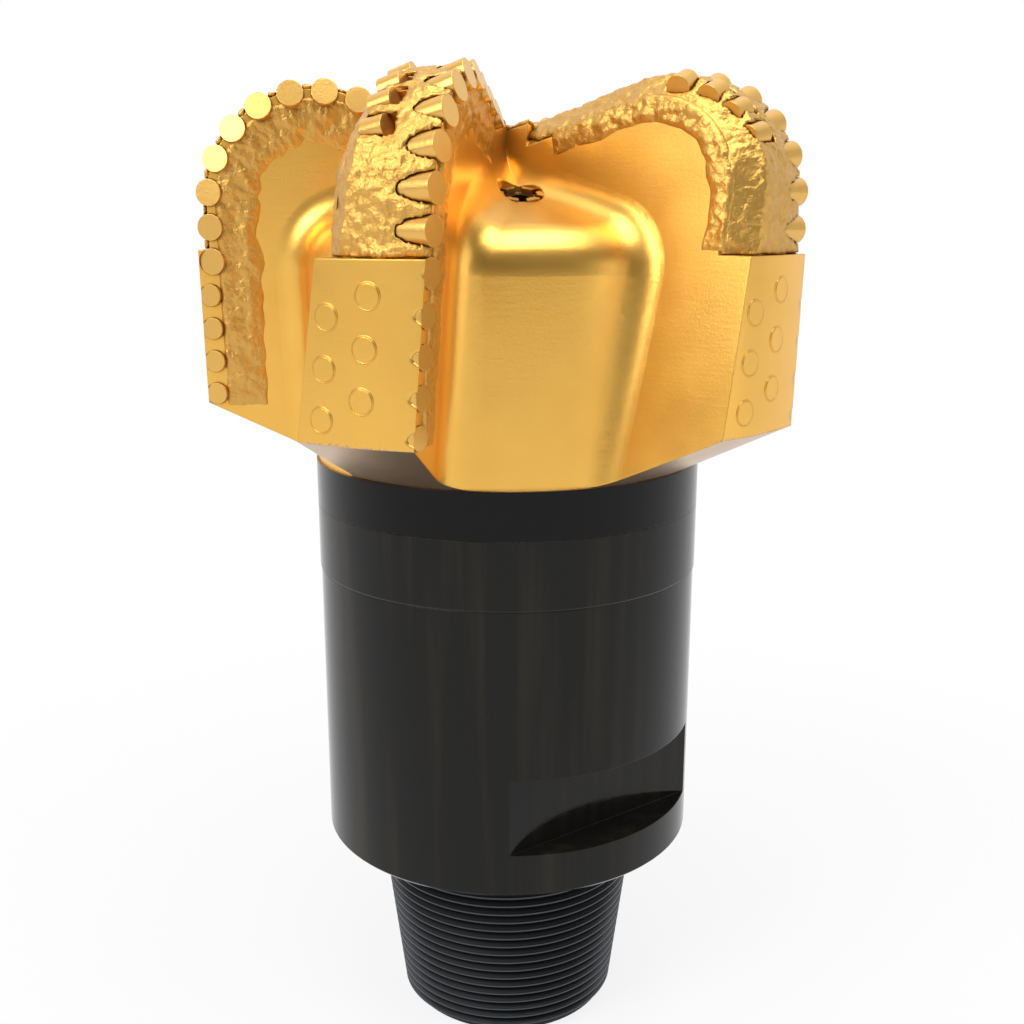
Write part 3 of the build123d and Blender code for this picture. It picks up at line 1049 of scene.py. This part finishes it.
@dataclass
class Studio:
    """Pale floor, white surroundings, soft light and the camera."""

    camera_azimuth: float = -96.3
    camera_distance: float = 0.8026
    camera_height: float = 0.536
    camera_pitch: float = 14.28
    camera_near: float = 0.01
    lens: float = 43.83984375
    sensor: float = 36.0
    shift: tuple[float, float] = (0.0044921875, 0.01953125)
    floor_size: float = 12.0
    floor_colour: Colour = (0.9, 0.9, 0.9)
    floor_roughness: float = 0.9
    near_glow: float = 0.86
    glow_rise: tuple[float, float] = (0.2, 0.9)
    ambient: float = 0.34
    dim: float = 0.14
    behind_rise: tuple[float, float] = (-0.1, 0.35)
    side_glow: float = 0.25
    side_rise: tuple[float, float] = (0.0, 0.8)
    boxes: tuple[Softbox, ...] = (
        Softbox("key_left", (-1.4, -1.1, 1.5), 1.1, 23.0),
        Softbox("overhead", (0.1, -0.35, 1.9), 1.1, 19.0),
        Softbox("fill_right", (1.6, -0.9, 0.7), 1.0, 4.0),
    )

    def floor(self) -> None:
        """A large white floor that looks white to the camera and still takes a shadow."""
        bpy.ops.mesh.primitive_plane_add(size=self.floor_size)
        floor = bpy.context.object
        floor.name = "floor"
        bench = Bench("floor_white")
        white = bench.finish(Base_Color=self.floor_colour, Roughness=self.floor_roughness)
        floor.data.materials.append(white)
        seen = (bench.ray(Ray.CAMERA) + bench.ray(Ray.GLOSSY) + bench.ray(Ray.THROUGH)).clamped()
        away = bench.vector(VectorMaths.LENGTH, bench.place())
        strength = self.near_glow + away.step(*self.glow_rise) * (1 - self.near_glow)
        glow = bench.add("ShaderNodeEmission", {}, {"Color": WHITE, "Strength": 1.0})
        plain = Signal(bench, bench.shader.outputs[0])
        both = bench.add("ShaderNodeMixShader", {}, {0: seen * strength, 1: plain, 2: glow})
        output = next(n for n in bench.tree.nodes if n.type == "OUTPUT_MATERIAL")
        bench.feed(output.inputs["Surface"], both)

    def world(self) -> None:
        """White for the camera, white behind the bit in reflections and dim elsewhere."""
        world = bpy.data.worlds.new("studio_world")
        bpy.context.scene.world = world
        world.use_nodes = True
        bench = Bench.for_tree(world.node_tree)
        direction = bench.add("ShaderNodeTexCoord", {}, {}, "Generated")
        azimuth = math.radians(self.camera_azimuth)
        away = (-math.cos(azimuth), -math.sin(azimuth), 0.0)
        left = (math.cos(azimuth - math.pi / 2), math.sin(azimuth - math.pi / 2), 0.0)
        behind = bench.vector(VectorMaths.DOT, direction, away).step(*self.behind_rise)
        aside = bench.vector(VectorMaths.DOT, direction, left).step(*self.side_rise)
        mirrored = self.dim + behind * (1 - self.dim) + aside * self.side_glow
        camera = bench.ray(Ray.CAMERA)
        mirror = bench.ray(Ray.GLOSSY) + bench.ray(Ray.THROUGH)
        strength = camera + mirror * mirrored + (1 - camera - mirror) * self.ambient
        background = next(n for n in bench.tree.nodes if n.type == "BACKGROUND")
        bench.feed(background.inputs["Strength"], strength.clamped())
        bench.feed(background.inputs["Color"], WHITE)

    def camera(self) -> None:
        """Puts the camera where it takes the usual three-quarter view from above."""
        data = bpy.data.cameras.new("camera")
        data.sensor_width = self.sensor
        data.lens = self.lens
        data.shift_x, data.shift_y = self.shift
        data.clip_start = self.camera_near
        camera = bpy.data.objects.new("camera", data)
        bpy.context.scene.collection.objects.link(camera)
        azimuth, pitch = math.radians(self.camera_azimuth), math.radians(self.camera_pitch)
        out = Vector((math.cos(azimuth), math.sin(azimuth), 0))
        camera.location = out * self.camera_distance + Vector((0, 0, self.camera_height))
        aim = -out * math.cos(pitch) - Vector((0, 0, math.sin(pitch)))
        camera.rotation_euler = aim.to_track_quat("-Z", "Y").to_euler()
        bpy.context.scene.camera = camera

    def build(self) -> None:
        """Adds everything round the bit."""
        self.floor()
        self.world()
        for box in self.boxes:
            box.build()
        self.camera()
        bpy.context.scene.view_settings.view_transform = "Standard"


def main() -> None:
    """Builds the dressed bit."""
    logging.basicConfig(level=logging.INFO, format="%(message)s")
    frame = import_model()
    nodes = frame["nodes"]
    finishes = Finishes()
    Dressing().build(nodes, finishes)
    WeldOverlay().build(nodes, finishes)
    bands = (
        WeldBand(Side.LEADING, start=7.0 * MM, width=27.0 * MM, thickness=2.1 * MM,
                 low=417.0 * MM, inner_radius=52.0 * MM),
        WeldBand(Side.TRAILING, start=11.5 * MM, width=14.5 * MM, thickness=3.0 * MM,
                 low=517.0 * MM, inner_radius=48.0 * MM),
    )
    for band in bands:
        band.build(finishes)
    InsertRings().build(finishes)
    PinThread().build(finishes)
    Studio().build()


if __name__ == "__main__":
    main()
